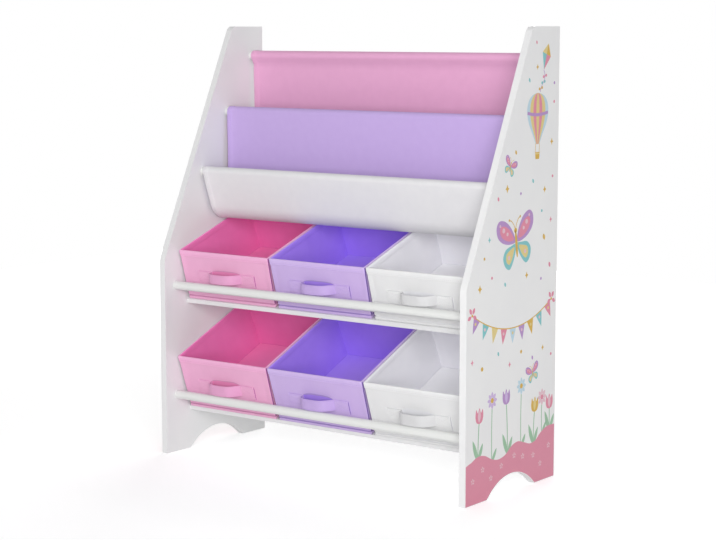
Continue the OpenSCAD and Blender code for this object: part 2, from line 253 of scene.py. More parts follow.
def surface(tree, shader, share, tones, height, depth, inputs, dim=1.0, strength=1.0):
    """Gives the shader its colour, relief and other inputs.

    The colour goes from the first tone to the second, darkened by dim, with share. The relief is depth
    deep, in metres, where height goes from 0 to 1.
    """
    ends = {0: share, 6: srgb(tones[0]), 7: srgb(tones[1], dim)}
    colour = add(tree, "ShaderNodeMix", ends, data_type="RGBA")
    bump = add(tree, "ShaderNodeBump", {"Height": height, "Distance": depth, "Strength": strength})
    feed(tree, shader, {"Base Color": colour.outputs[2], "Normal": bump.outputs["Normal"], **inputs})


def lacquered_fibreboard():
    """Fibreboard sprayed with satin white lacquer: an even white, a soft gloss and faint orange peel."""
    material, tree, shader, place = start_material("lacquered_fibreboard")
    cloud = mottle(tree, place, 90 * MM, 0, 1)
    peel = mottle(tree, place, 2.2 * MM, 0, 1, detail=1.0)
    inputs = {"Roughness": mottle(tree, place, 30 * MM, 0.4, 0.5), "IOR": 1.5}
    surface(tree, shader, cloud, ("#e3e3e4", "#e7e7e7"), peel, 0.02 * MM, inputs)
    return material


def enamelled_beech():
    """Beech dowel in glossy white enamel: the grain just shows as fine lines along the rod."""
    material, tree, shader, place = start_material("enamelled_beech")
    along = add(tree, "ShaderNodeMapping", {"Vector": place, "Scale": (0.03, 1, 1)}).outputs["Vector"]
    bands = mottle(tree, along, 6 * MM, 0, 1)
    grain = mottle(tree, along, 0.9 * MM, 0, 1)
    inputs = {"Roughness": mottle(tree, along, 12 * MM, 0.3, 0.36), "IOR": 1.5}
    surface(tree, shader, bands, ("#dfe0de", "#e2e3e1"), grain, 0.008 * MM, inputs)
    return material


def woven_polyester(name, light, deep):
    """Plain-woven polyester: matt, with a fine thread texture and slight shade changes.

    The real threads lie 0.35 mm apart, too fine to show, so the weave is drawn three times as coarse.
    """
    material, tree, shader, place = start_material(name)
    turns = 2 * math.pi / (1.05 * MM)
    parts = add(tree, "ShaderNodeSeparateXYZ", {"Vector": place}).outputs
    down = add(tree, "ShaderNodeMath", {0: parts["Z"], 1: parts["Y"]}, operation="SUBTRACT").outputs[0]
    threads = []
    for across in (parts["X"], down):
        angle = add(tree, "ShaderNodeMath", {0: across, 1: turns}, operation="MULTIPLY").outputs[0]
        threads.append(add(tree, "ShaderNodeMath", {0: angle}, operation="SINE").outputs[0])
    crossed = add(tree, "ShaderNodeMath", dict(enumerate(threads)), operation="MULTIPLY").outputs[0]
    weave = add(tree, "ShaderNodeMath", {0: crossed, 1: 0.5, 2: 0.5}, operation="MULTIPLY_ADD").outputs[0]
    cloud = mottle(tree, place, 14 * MM, 0, 0.6)
    inputs = {"Roughness": 0.85, "Specular IOR Level": 0.25, "Sheen Weight": 0.12, "Sheen Roughness": 0.5}
    surface(tree, shader, cloud, (light, deep), weave, 0.05 * MM, inputs, strength=0.6)
    return material


def bonded_nonwoven(name, light, deep):
    """Spun-bonded polypropylene cloth: matt and fibrous, pressed with a grid of small bond dots.

    The dots are drawn 2 mm apart, twice the real spacing, so that they just show.
    """
    material, tree, shader, place = start_material(name)
    dots = add(tree, "ShaderNodeTexVoronoi", {"Vector": place, "Scale": 1 / (2 * MM), "Randomness": 0.25})
    reach = {"Value": dots.outputs["Distance"], "From Min": 0.1, "From Max": 0.45}
    dents = add(tree, "ShaderNodeMapRange", reach, interpolation_type="SMOOTHSTEP").outputs["Result"]
    fibres = mottle(tree, place, 0.7 * MM, 0, 0.5)
    height = add(tree, "ShaderNodeMath", {0: dents, 1: fibres}, operation="ADD").outputs[0]
    cloud = mottle(tree, place, 22 * MM, 0, 0.7, detail=5.0)
    inputs = {"Roughness": 0.8, "Specular IOR Level": 0.3, "Sheen Weight": 0.08}
    surface(tree, shader, cloud, (light, deep), height, 0.06 * MM, inputs, strength=0.6)
    return material


def sewing_thread(name, colour):
    """Twisted polyester thread: a little brighter and glossier than the cloth it lies on."""
    material, tree, shader, place = start_material(name)
    twist = mottle(tree, place, 0.5 * MM, 0, 1)
    surface(tree, shader, twist, (colour, colour), twist, 0.05 * MM, {"Roughness": 0.55}, dim=0.86)
    return material


def moulded_plastic():
    """Injection-moulded polypropylene: white, evenly matt from a fine spark-eroded mould."""
    material, tree, shader, place = start_material("moulded_plastic")
    grit = mottle(tree, place, 0.8 * MM, 0, 1)
    inputs = {"Roughness": 0.5, "IOR": 1.49}
    surface(tree, shader, grit, ("#e6e6e5", "#ebebea"), grit, 0.02 * MM, inputs)
    return material


def zinc_plated_steel():
    """Cold-headed steel screws with bright zinc plating, slightly clouded."""
    material, tree, shader, place = start_material("zinc_plated_steel")
    cloud = mottle(tree, place, 2 * MM, 0, 1)
    inputs = {"Roughness": mottle(tree, place, 1.5 * MM, 0.22, 0.4), "Metallic": 1.0}
    surface(tree, shader, cloud, ("#b9bcc0", "#cfd1d3"), cloud, 0.01 * MM, inputs)
    return material


def printed_ink(name, colour):
    """Ink of a transfer film pressed on the lacquer: flat colour, fine print grain and satin gloss."""
    material, tree, shader, place = start_material("ink_" + name)
    grain = mottle(tree, place, 1.2 * MM, 0, 1)
    inputs = {"Roughness": mottle(tree, place, 12 * MM, 0.38, 0.48)}
    surface(tree, shader, grain, (colour, colour), grain, 0.01 * MM, inputs, dim=0.94)
    return material


def in_each_colour(kind, suffix, *tones):
    """A material of one kind for each of the rack's three colours."""
    return {colour: kind(f"{colour}_{suffix}", *tone) for colour, tone in zip(COLOURS, tones)}


BOARD = lacquered_fibreboard()
DOWEL = enamelled_beech()
PLASTIC = moulded_plastic()
ZINC = zinc_plated_steel()
SLING_CLOTH = in_each_colour(
    woven_polyester, "woven_polyester", ("#e6abcf", "#e2a6cb"), ("#c5ace2", "#c1a7df"), ("#e3e2e4", "#dfdee1")
)
BIN_CLOTH = in_each_colour(
    bonded_nonwoven, "nonwoven", ("#ebb0d1", "#e6aacc"), ("#cab2e2", "#c5acdf"), ("#e4e4e4", "#e0e0e1")
)
# inside of the bins, painted shade: deeper pink and purple than the outside stand for the shaded,
# colour-bounced inside; the paler, lilac-tinted white is painted light with painted bounce
INSIDE_PAINTED_SHADE_AND_LIGHT = in_each_colour(
    bonded_nonwoven, "nonwoven_inside", ("#f080c0", "#ec7abb"), ("#b18cf6", "#ab86f2"), ("#f4f3f8", "#f1f0f6")
)
# cover of the base card, painted like the inside: deeper pink and purple for shade, a paler white for light
CARD_PAINTED_SHADE_AND_LIGHT = in_each_colour(
    bonded_nonwoven, "card_cover", ("#f892ca", "#f48cc5"), ("#bd9cf8", "#b896f4"), ("#fdfdff", "#fafafc")
)
BINDING = in_each_colour(
    bonded_nonwoven, "rim_binding", ("#f2b4d8", "#edafd3"), ("#d1b9ea", "#ccb4e6"), ("#eaeaea", "#e6e6e7")
)
STRAP_CLOTH = in_each_colour(
    woven_polyester, "strap", ("#e0a2c8", "#dc9dc4"), ("#c0a7dc", "#bba2d8"), ("#d3d3d4", "#cfcfd0")
)
# a mid tone of painted shade: the dark line in the base seam's groove, and the paler band that softens the
# top of the painted shadow behind a strap loop
MID_PAINTED_SHADE = in_each_colour(
    bonded_nonwoven, "seam_tape", ("#d494ba", "#d090b6"), ("#a890cc", "#a48cc8"), ("#e4e4e6", "#e1e1e3")
)
# a deep tone of painted shade: the shadow in the gap between neighbouring bins at the side walls' ends, and
# the shadow along a handle patch's outer edge
DEEP_PAINTED_SHADE = in_each_colour(
    bonded_nonwoven, "corner_tape", ("#a8629c", "#a45e98"), ("#836cb2", "#7f68ae"), ("#cfcfd6", "#cbcbd2")
)
# painted shadow of a strap loop, on a thin strip on the wall behind it
LOOP_PAINTED_SHADOW = in_each_colour(
    woven_polyester, "backing_strip", ("#e88fbe", "#e48aba"), ("#a988e8", "#a583e4"), ("#e4e4e8", "#e1e1e5")
)
THREAD = in_each_colour(sewing_thread, "thread", ("#e39cc4",), ("#b99ce0",), ("#dcdbdd",))


# mesh helpers


def make_piece(name, work, materials, smooth):
    """A piece from a bmesh, which is freed; smooth is the sharpest angle that is still shaded smooth."""
    bmesh.ops.recalc_face_normals(work, faces=work.faces)
    mesh = bpy.data.meshes.new(name)
    work.to_mesh(mesh)
    work.free()
    for material in materials:
        mesh.materials.append(material)
    mesh.polygons.foreach_set("use_smooth", [True] * len(mesh.polygons))
    mesh.set_sharp_from_angle(angle=math.radians(smooth))
    obj = bpy.data.objects.new(name, mesh)
    bpy.context.scene.collection.objects.link(obj)
    return obj


def settle(obj, body, slot, *nodes):
    """The piece rides on its body and hides the CAD nodes it stands for; slot is not used."""
    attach(obj, body)
    if nodes:
        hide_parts(*nodes)


def ring_faces(rings, size, closed=False, first=0):
    """Quads between rings of size points each; closed also joins the last ring to the first."""
    faces = []
    for r in range(rings if closed else rings - 1):
        a, b = first + r * size, first + (r + 1) % rings * size
        for i in range(size):
            j = (i + 1) % size
            faces.append((a + i, a + j, b + j, b + i))
    return faces


def capped_faces(rings, size, first=0):
    """Quads between rings, then the faces that close the first and the last ring."""
    last = first + (rings - 1) * size
    ends = [tuple(first + i for i in reversed(range(size))), tuple(last + i for i in range(size))]
    return ring_faces(rings, size, first=first) + ends


def arc(centre, radius, start, end, count):
    """Points on an arc in the plane, angles in degrees."""
    steps = [math.radians(start + (end - start) * i / (count - 1)) for i in range(count)]
    return [Vector((centre[0] + radius * math.cos(a), centre[1] + radius * math.sin(a))) for a in steps]


def spaced(line, step):
    """Points every step or less along an open polyline, its corners kept."""
    found = [line[0]]
    for a, b in zip(line, line[1:]):
        count = max(1, math.ceil((b - a).length / step))
        found += [a.lerp(b, i / count) for i in range(1, count + 1)]
    return found


def normals_along(line):
    """Unit normals to the right of a plane polyline, one for each of its points."""
    ahead = [b - a for a, b in zip(line[:1] + line, line[1:] + line[-1:])]
    return [Vector((v.y, -v.x)).normalized() for v in ahead]


def smooth_between(low, high, value):
    """0 below low, 1 above high, and a soft step between."""
    t = min(1.0, max(0.0, (value - low) / (high - low)))
    return t * t * (3 - 2 * t)


def stitches(line, normals):
    """Thread dashes along a polyline: points and faces of one small capped capsule a stitch."""
    points, faces = [], []
    lengths = [0.0]
    for a, b in zip(line, line[1:]):
        lengths.append(lengths[-1] + (b - a).length)
    if lengths[-1] < STITCH_L:
        return points, faces

    def at(s):
        k = max(i for i in range(len(line) - 1) if lengths[i] <= s or i == 0)
        t = min(1.0, (s - lengths[k]) / max(lengths[k + 1] - lengths[k], 1e-9))
        return line[k].lerp(line[k + 1], t), normals[k].lerp(normals[k + 1], t).normalized()

    step = STITCH_L + STITCH_GAP
    count = int((lengths[-1] + STITCH_GAP) / step)
    margin = (lengths[-1] - count * step + STITCH_GAP) / 2
    sides = 6
    swells = ((0.0, 0.35), (0.12, 0.9), (0.5, 1.0), (0.88, 0.9), (1.0, 0.35))
    for n in range(count):
        start = margin + n * step
        first = len(points)
        for share, swell in swells:
            s = start + share * STITCH_L
            centre, out = at(s)
            ahead = at(s + 0.2 * MM)[0] - at(s - 0.2 * MM)[0]
            side = out.cross(ahead.normalized()).normalized()
            sink = THREAD_R * (0.1 - 0.7 * (1 - swell))
            r = THREAD_R * swell
            for k in range(sides):
                a = 2 * math.pi * k / sides
                points.append(centre + out * (sink + r * math.sin(a)) + side * r * math.cos(a))
        faces += capped_faces(len(swells), sides, first)
    return points, faces


class Build:
    """Collects the points and faces of one piece, each face with its material number."""

    def __init__(self):
        self.points, self.faces, self.shades = [], [], []

    def put(self, points, faces, shade=0):
        """Adds faces on new points; shade is one number for all the faces or a list of them."""
        base = len(self.points)
        self.points += list(points)
        self.faces += [tuple(base + i for i in face) for face in faces]
        self.shades += shade if isinstance(shade, list) else [shade] * len(faces)

    def piece(self, name, materials, smooth):
        """The collected points and faces as one piece."""
        draft = bpy.data.meshes.new("draft")
        draft.from_pydata([tuple(p) for p in self.points], [], self.faces)
        draft.polygons.foreach_set("material_index", self.shades)
        work = bmesh.new()
        work.from_mesh(draft)
        bpy.data.meshes.remove(draft)
        return make_piece(name, work, materials, smooth)


# side panels and boards


def panel_outline():
    """Outline of a side panel in (y, z), counter-clockwise from its lower front corner."""
    arch_z = ARCH_RISE - ARCH_R
    foot_y = math.sqrt((ARCH_R + FOOT_R) ** 2 - (FOOT_R - arch_z) ** 2)
    lean = math.degrees(math.atan2(foot_y, FOOT_R - arch_z))
    rear_foot = arc((foot_y, FOOT_R), FOOT_R, -90 - lean, -90, 7)
    front_foot = [Vector((-p.x, p.y)) for p in reversed(rear_foot)]
    arch = arc((0, arch_z), ARCH_R, 90 + lean, 90 - lean, 41)[1:-1]
    top_front = Vector((REAR_Y - TOP_DEPTH, PANEL_H))
    knee = Vector((FRONT_Y, SLOPE_START))
    slope = (top_front - knee).normalized()
    line = [Vector((FRONT_Y, 0))] + front_foot + arch + rear_foot
    line += [Vector((REAR_Y, 0)), Vector((REAR_Y, PANEL_H))]
    line += fillet(top_front, Vector((1, 0)), -slope, TOP_CORNER_R, 9)
    line += fillet(knee, slope, Vector((0, -1)), KNEE_R, 7)
    return line


def fillet(corner, along_in, along_out, radius, count):
    """Arc that rounds a corner; the two directions point from the corner along its edges."""
    half = along_in.angle(along_out) / 2
    centre = corner + (along_in + along_out).normalized() * radius / math.sin(half)
    a = corner + along_in * radius / math.tan(half) - centre
    b = corner + along_out * radius / math.tan(half) - centre
    return [centre + a.slerp(b, i / (count - 1)) * radius for i in range(count)]


def eased(work):
    """Rounds the edges where flat faces meet at more than 50 degrees, as sprayed board has them."""
    sharp = [e for e in work.edges if len(e.link_faces) == 2 and e.calc_face_angle(0) > math.radians(50)]
    bmesh.ops.bevel(
        work, geom=sharp, offset=EASED_EDGE, segments=3, profile=0.5, affect="EDGES", clamp_overlap=True
    )


def side_panel(side, word):
    """A side panel, on the left (-1) or the right (1)."""
    work = bmesh.new()
    outline = panel_outline()
    near = [work.verts.new((side * INNER_X, p.x, p.y)) for p in outline]
    far = [work.verts.new((side * OUTER_X, p.x, p.y)) for p in outline]
    work.faces.new(near)
    work.faces.new(far)
    for i in range(len(outline)):
        j = (i + 1) % len(outline)
        work.faces.new((near[i], near[j], far[j], far[i]))
    eased(work)
    obj = make_piece(word + "_panel_lacquered", work, [BOARD], smooth=25)
    settle(obj, "shelf_frame", "painted_board", "side_panel_" + word)


def sloping_board(row):
    """The board under a row of bins."""
    work = bmesh.new()
    depths = (-BOARD_LIP, BOARD_L - BOARD_LIP)
    c = [
        [[work.verts.new(row.place(x, y, z)) for z in (-BOARD_T, 0)] for y in depths]
        for x in (-INNER_X, INNER_X)
    ]
    for i in (0, 1):
        work.faces.new((c[i][0][0], c[i][1][0], c[i][1][1], c[i][0][1]))
        work.faces.new((c[0][i][0], c[1][i][0], c[1][i][1], c[0][i][1]))
        work.faces.new((c[0][0][i], c[1][0][i], c[1][1][i], c[0][1][i]))
    eased(work)
    node = row.name + "_board"
    settle(make_piece(node + "_lacquered", work, [BOARD], smooth=25), "shelf_frame", "painted_board", node)


side_panel(-1, "left")
side_panel(1, "right")
for row in ROWS:
    sloping_board(row)

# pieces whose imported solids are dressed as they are
BARS = ["upper_front_rail", "lower_front_rail", "sling_rod_top_rear", "sling_rod_middle_front"]
BARS += ["sling_rod_low_front", "sling_rod_low_rear"]
for material, nodes in ((DOWEL, BARS), (PLASTIC, ["corner_blocks"]), (ZINC, ["block_screws"])):
    for node in nodes:
        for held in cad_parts[node].material_slots:
            held.material = material


# print on the side panels, whose outlines are in millimetres on the panel's (y, z)

INKS = {
    "ground_pink": "#d5869c",
    "coral": "#d8829a",
    "blush": "#dcb9c4",
    "mauve": "#ae88c0",
    "lilac": "#c6aed8",
    "gold": "#cfa73c",
    "butter": "#d9c583",
    "teal": "#79bcc0",
    "sky": "#b7d0de",
    "leaf": "#93b99a",
}
INK_STEP = 0.02 * MM


def curve(points, steps=6):
    """Smooth closed outline through the points."""

    def eased_between(a, b, c, d, t):
        return b + 0.5 * t * (c - a + t * (2 * a - 5 * b + 4 * c - d + t * (3 * b - a - 3 * c + d)))

    found = []
    n = len(points)
    for i in range(n):
        four = [points[(i + k - 1) % n] for k in range(4)]
        for s in range(steps):
            found.append(tuple(eased_between(*values, s / steps) for values in zip(*four)))
    return found


def oval(y, z, ry, rz, count=28):
    """Ellipse round (y, z)."""
    turns = [2 * math.pi * i / count for i in range(count)]
    return [(y + ry * math.cos(a), z + rz * math.sin(a)) for a in turns]


def leaf(length, width, count=10):
    """Pointed leaf or petal that grows up from the origin."""
    half = [(width / 2 * math.sin(math.pi * i / count) ** 0.8, length * i / count) for i in range(count + 1)]
    return half + [(-a, b) for a, b in reversed(half[1:-1])]


def petal(length, width, start, count=10):
    """A leaf that begins at a distance from the origin, so that the petals round it stay apart."""
    return [(a, b + start) for a, b in leaf(length, width, count)]


def strip(line, width):
    """Outline of a thin line of even width along open points."""
    left, right = [], []
    for k, p in enumerate(line):
        a, b = line[max(k - 1, 0)], line[min(k + 1, len(line) - 1)]
        length = math.hypot(b[0] - a[0], b[1] - a[1])
        n = (-(b[1] - a[1]) / length * width / 2, (b[0] - a[0]) / length * width / 2)
        left.append((p[0] + n[0], p[1] + n[1]))
        right.append((p[0] - n[0], p[1] - n[1]))
    return left + right[::-1]


def set_at(outline, y, z, turn=0.0, size=1.0):
    """An outline turned by degrees, sized and moved to (y, z)."""
    c, s = math.cos(math.radians(turn)) * size, math.sin(math.radians(turn)) * size
    return [(y + a * c - b * s, z + a * s + b * c) for a, b in outline]


def ground_motif():
    """Hilly ground that follows the feet and the base arch, a margin inside the panel's edges."""
    edge, foot, margin = 131.6, 1.2, 1
    r = ARCH_R / MM + margin
    base = [(-edge, foot), (-73.1, foot), (-71.5, 1.5)]
    base += [(y, ARCH_RISE / MM + margin - r + math.sqrt(r**2 - y**2)) for y in range(-70, 71, 5)]
    base += [(71.5, 1.5), (73.1, foot), (edge, foot)]
    hills = [(edge, 84), (112, 89), (90, 82), (72, 71), (55, 69), (38, 74), (18, 79), (-2, 74), (-18, 64)]
    hills += [(-38, 60), (-58, 64), (-78, 73), (-98, 75), (-116, 69), (-edge, 62)]
    line = [(max(-edge, min(edge, y)), z) for y, z in curve(hills, 5)[:-5]]
    yield "ground_pink", 4, base + line
    blooms = ((-112, 38), (-84, 52), (-60, 34), (-30, 48), (8, 58), (34, 52), (66, 48), (88, 30), (114, 56))
    for y, z in blooms:
        for k in range(5):
            yield "blush", 5, set_at(petal(4.0, 2.8, 1.2, 6), y, z, 72 * k)


def tulip(y, foot, top, ink, deep, turn=0.0):
    """A tulip with two leaves: stem from foot to top, cup above."""
    stem = [(y + turn * ((z - foot) / 40) ** 2, z) for z in [foot + (top - foot) * i / 8 for i in range(9)]]
    yield "leaf", 0, strip(stem, 2.4)
    yield "leaf", 1, set_at(leaf(40, 9), y, foot, 22)
    yield "leaf", 2, set_at(leaf(32, 8), y, foot, -26)
    head = stem[-1]
    cup = [(0, 0), (8, 3), (11, 12), (9, 23), (4.5, 17), (0, 25), (-4.5, 17), (-9, 23), (-11, 12), (-8, 3)]
    yield ink, 2, set_at(curve(cup, 4), head[0], head[1] - 1, -turn * 2)
    yield deep, 3, set_at(leaf(20, 8), head[0], head[1] + 1, -turn * 2)


def daisy(y, foot, top, ink, centre):
    """A round flower of eight petals on a stem."""
    yield "leaf", 0, strip([(y, foot), (y - 1, (foot + top) / 2), (y, top)], 2.2)
    yield "leaf", 1, set_at(leaf(26, 7), y, foot, -32)
    for k in range(8):
        yield ink, 2, set_at(petal(10.5, 6.2, 3.4), y, top, 45 * k)
    yield centre, 3, oval(y, top, 4.2, 4.2)


def garland():
    """Pennants on a string that dips in the middle."""
    reach, middle, dip = 118, 266, 34

    def string(y):
        return middle + dip * (y / reach) ** 2

    line = [(y, string(y)) for y in range(-116, 117, 8)]
    yield "gold", 2, strip(line, 1.8)
    order = ("mauve", "teal", "butter", "coral", "sky", "mauve", "gold", "teal", "coral")
    for k, ink in enumerate(order):
        y = -104 + 26 * k
        tilt = math.degrees(math.atan(2 * dip * y / reach**2))
        flag = [(-9.5, 0), (9.5, 0), (5, -13), (0, -25), (-5, -13)]
        yield ink, 0, set_at(flag, y, string(y), tilt)
        yield "blush" if k % 2 else "butter", 1, set_at(oval(0, -8, 2.6, 2.6, 16), y, string(y), tilt)
    for side in (-1, 1):
        for turn in (58, 122, 205, 335):
            yield "coral", 3, set_at(petal(11, 6.4, 2.6), side * 117, string(117), turn - 90)
        yield "gold", 3, oval(side * 117, string(117), 2.3, 2.3, 14)


def butterfly(y, z, size=1.0, turn=0.0):
    """A butterfly with spread, spotted wings."""
    fore = [(2, 2), (10, 22), (26, 38), (44, 43), (54, 34), (52, 18), (38, 6), (18, 0)]
    inner = [(7, 6), (15, 21), (28, 31), (41, 33), (45, 25), (38, 14), (22, 6)]
    hind = [(2, -2), (16, -3), (32, -6), (41, -18), (36, -33), (24, -39), (12, -28), (4, -14)]
    heart = [(7, -7), (20, -9), (31, -14), (32, -25), (24, -31), (14, -22)]
    wings = (("mauve", 0, fore), ("coral", 1, inner), ("teal", 0, hind), ("butter", 1, heart))
    for side in (-1, 1):
        for ink, layer, points in wings:
            yield ink, layer, set_at(curve([(side * a, b) for a, b in points], 5), y, z, turn, size)
        for a, b, r in ((34, 26, 4), (24, 18, 3), (43, 35, 2.4), (24, -20, 3.4)):
            yield "blush", 2, set_at(oval(side * a, b, r, r, 18), y, z, turn, size)
        feeler = [(0, 20), (side * 4, 29), (side * 10, 36), (side * 15, 38)]
        yield "gold", 2, set_at(strip(feeler, 1.5), y, z, turn, size)
        yield "gold", 2, set_at(oval(side * 16, 38.5, 2.1, 2.1, 14), y, z, turn, size)
    yield "gold", 3, set_at(oval(0, -3, 3.4, 22, 24), y, z, turn, size)
    yield "gold", 3, set_at(oval(0, 19, 4.2, 4.2, 18), y, z, turn, size)


def balloon(y, z):
    """A hot-air balloon of upright panels with its basket."""

    def bag(share):
        side = [(0, -40), (6, -39), (14, -26), (26, -8), (32, 10), (29, 26), (18, 37), (0, 41)]
        right = [(a * share, b) for a, b in side]
        return curve(right + [(-a, b) for a, b in reversed(right[1:-1])], 4)

    for share, ink, layer in ((1, "sky", 0), (0.72, "butter", 1), (0.42, "coral", 2), (0.14, "butter", 3)):
        yield ink, layer, set_at(bag(share), y, z)
    band = [(a, 10 - 3.5 * math.cos(a / 21)) for a in range(-31, 32, 2)]
    yield "mauve", 4, set_at(strip(band, 5), y, z)
    for a in (-6, 6):
        yield "gold", 1, strip([(y + a, z - 39), (y + a * 0.9, z - 54)], 1.2)
    basket = [(-7, 0), (7, 0), (5.6, -11), (-5.6, -11)]
    yield "gold", 2, set_at(basket, y, z - 53)
    yield "butter", 3, set_at(strip([(-6.6, -2.4), (6.6, -2.4)], 2), y, z - 53)


def kite(y, z):
    """A kite with a bowed tail."""
    corners = ((0, 22), (13, 4), (0, -22), (-13, 4))
    for k, ink in enumerate(("gold", "coral", "teal", "butter")):
        yield ink, 0, set_at([(0, 4), corners[k], corners[(k + 1) % 4]], y, z, -18)
    tail = [(y - 7 - 0.5 * i + 5 * math.sin(i / 2.2), z - 21 - 3.2 * i) for i in range(12)]
    yield "mauve", 0, strip(tail, 1.5)
    for i in (3, 6, 9):
        for side in (-1, 1):
            yield ("coral", "teal", "gold")[i // 3 - 1], 1, set_at(petal(6, 5, 0.8), *tail[i], 90 * side + 15)


def specks():
    """Small diamonds, dots and drops in the free places."""
    places = (
        (-96, 338, "gold", 7), (-62, 352, "coral", 5), (-22, 334, "teal", 5), (40, 346, "gold", 6),
        (84, 336, "mauve", 5), (112, 352, "coral", 6), (-70, 412, "teal", 5), (-84, 384, "gold", 5),
        (94, 398, "gold", 7), (112, 430, "coral", 5), (84, 446, "teal", 5), (-44, 470, "coral", 5),
        (-20, 488, "gold", 7), (20, 478, "mauve", 5), (58, 492, "teal", 5), (92, 480, "gold", 6),
        (116, 500, "coral", 5), (6, 540, "gold", 5), (112, 556, "gold", 6), (118, 620, "coral", 5),
        (44, 652, "teal", 5), (66, 676, "gold", 5), (118, 650, "mauve", 5), (64, 712, "coral", 4),
        (-116, 226, "coral", 5), (-88, 212, "gold", 7), (-40, 226, "teal", 5), (-8, 208, "coral", 5),
        (26, 224, "gold", 6), (62, 206, "mauve", 5), (92, 222, "gold", 5), (118, 208, "coral", 5),
    )
    for k, (y, z, ink, r) in enumerate(places):
        if k % 3 == 0:
            spark = [(0, 1), (0.3, 0.3), (0.8, 0), (0.3, -0.3)]
            spark += [(-a, -b) for a, b in spark]
            yield ink, 0, set_at(spark, y, z, 0, r)
        elif k % 3 == 1:
            yield ink, 0, oval(y, z, r * 0.5, r * 0.5, 16)
        else:
            yield ink, 0, set_at(leaf(r * 1.6, r), y, z, 24)


def panel_print(side, word):
    """All motifs of a panel as one film: inks lie in thin layers on the lacquer."""
    motifs = [ground_motif(), garland(), butterfly(8, 402, 1.0, 8), balloon(68, 594), kite(92, 692), specks()]
    motifs += [butterfly(-12, 522, 0.34, -24), butterfly(62, 184, 0.36, 14)]
    motifs += [tulip(-98, 66, 128, "coral", "blush", 1.2), tulip(-12, 62, 146, "mauve", "lilac", -1.0)]
    motifs += [tulip(66, 64, 120, "gold", "butter", 1.5), tulip(116, 78, 118, "coral", "blush", -0.6)]
    motifs += [daisy(-58, 58, 158, "lilac", "gold"), daisy(28, 66, 168, "sky", "gold")]
    motifs += [daisy(92, 76, 140, "blush", "coral")]
    names = list(INKS)
    build = Build()
    for motif in motifs:
        for ink, layer, outline in motif:
            n = len(outline)
            low, high = OUTER_X - 0.1 * MM, OUTER_X + INK_STEP * (layer + 1)
            points = [Vector((side * x, a * MM, b * MM)) for x in (low, high) for a, b in outline]
            build.put(points, capped_faces(2, n), names.index(ink))
    obj = build.piece(word + "_panel_print", [PRINT[name] for name in names], smooth=20)
    settle(obj, "shelf_frame", "painted_board")


PRINT = {name: printed_ink(name, colour) for name, colour in INKS.items()}
panel_print(-1, "left")
panel_print(1, "right")


# slings


def rod_centre(node):
    """Axis of a rod in (y, z)."""
    low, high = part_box(node)
    return Vector(((low.y + high.y) / 2, (low.z + high.z) / 2))


def turned(v, angle):
    """A plane vector turned counter-clockwise by an angle in radians."""
    c, s = math.cos(angle), math.sin(angle)
    return Vector((v.x * c - v.y * s, v.x * s + v.y * c))


def round_rod(centre, tail, meet, turn):
    """Cloth from tail round a rod and back to meet; turn is 1 or -1, the way round."""
    a = tail - centre
    b = meet - centre
    first = turned(a.normalized(), turn * math.acos(SLEEVE_R / a.length))
    last = turned(b.normalized(), -turn * math.acos(SLEEVE_R / b.length))
    start = math.degrees(math.atan2(first.y, first.x))
    end = math.degrees(math.atan2(last.y, last.x))
    while (end - start) * turn < 0:
        end += turn * 360
    return arc(centre, SLEEVE_R, start, end, 25)


def cloth_piece(place, colour, path, wave):
    """A sheet of cloth swept along X from a path in (y, z), with hemmed side edges and a slight wave."""
    name = place + "_" + colour + "_sling"
    line = []
    for p in spaced(path, SHEET_STEP):
        if not line or (p - line[-1]).length > 0.3 * MM:
            line.append(p)
    normals = normals_along(line)
    total = sum((b - a).length for a, b in zip(line, line[1:]))
    half_w = INNER_X - CLOTH_SIDE_GAP
    across = [half_w, half_w - 0.4 * MM, half_w - HEM_W, half_w - HEM_W - 0.6 * MM]
    middle = half_w - HEM_W - 4 * MM
    xs = [-x for x in across]
    xs += [(i / SHEET_COLUMNS * 2 - 1) * middle for i in range(SHEET_COLUMNS + 1)]
    xs += across[::-1]
    front, back = [], []
    run = 0.0
    for k, (p, normal) in enumerate(zip(line, normals)):
        if k:
            run += (p - line[k - 1]).length
        free = wave(run, total)
        pull = 1.0 - DRAW_IN * free * math.sin(math.pi * run / total)
        for x in xs:
            edge = half_w - abs(x)
            thick = CLOTH_T / 2
            if edge < HEM_W + 0.1 * MM:
                thick += HEM_T
            if edge < 0.2 * MM:
                thick -= 0.25 * MM
            bow = BROAD_WAVE * free * noise.noise((x * 7 + len(name), run * 11, 3.1))
            bow += FINE_WAVE * free * noise.noise((x * 23, run * 17, 9.7))
            for face, depth in ((front, bow + thick), (back, bow - thick)):
                q = p + normal * depth
                face.append(Vector((x * pull, q.x, q.y)))
    size, base = len(xs), len(front)
    faces = []
    for r in range(len(line) - 1):
        for i in range(size - 1):
            a, b = r * size + i, (r + 1) * size + i
            faces.append((a, a + 1, b + 1, b))
            faces.append((base + a, base + b, base + b + 1, base + a + 1))
        for i in (0, size - 1):
            a, b = r * size + i, (r + 1) * size + i
            faces.append((a, b, base + b, base + a))
    for r in (0, len(line) - 1):
        for a in range(r * size, r * size + size - 1):
            faces.append((a, base + a, base + a + 1, a + 1))
    build = Build()
    build.put(front + back, faces)
    seam_x = half_w - HEM_W + 1.5 * MM
    out = [Vector((0, n.x, n.y)) for n in normals]
    for side in (-1, 1):
        seam = [Vector((side * seam_x, p.x, p.y)) + n * (CLOTH_T / 2 + HEM_T) for p, n in zip(line, out)]
        build.put(*stitches(seam, out), 1)
    obj = build.piece(name, [SLING_CLOTH[colour], THREAD[colour]], smooth=60)
    settle(obj, "shelf_frame", colour + "_cloth", "sling_" + place + "_" + colour)


def hanging(start, end):
    """Share of free waving along a cloth whose held stretches end at start and begin at end."""

    def wave(run, total):
        return smooth_between(start, start + 40 * MM, run) * smooth_between(end, end + 30 * MM, total - run)

    return wave


ROD_A = rod_centre("sling_rod_top_rear")
ROD_B = rod_centre("sling_rod_middle_front")
ROD_C = rod_centre("sling_rod_low_front")
ROD_D = rod_centre("sling_rod_low_rear")


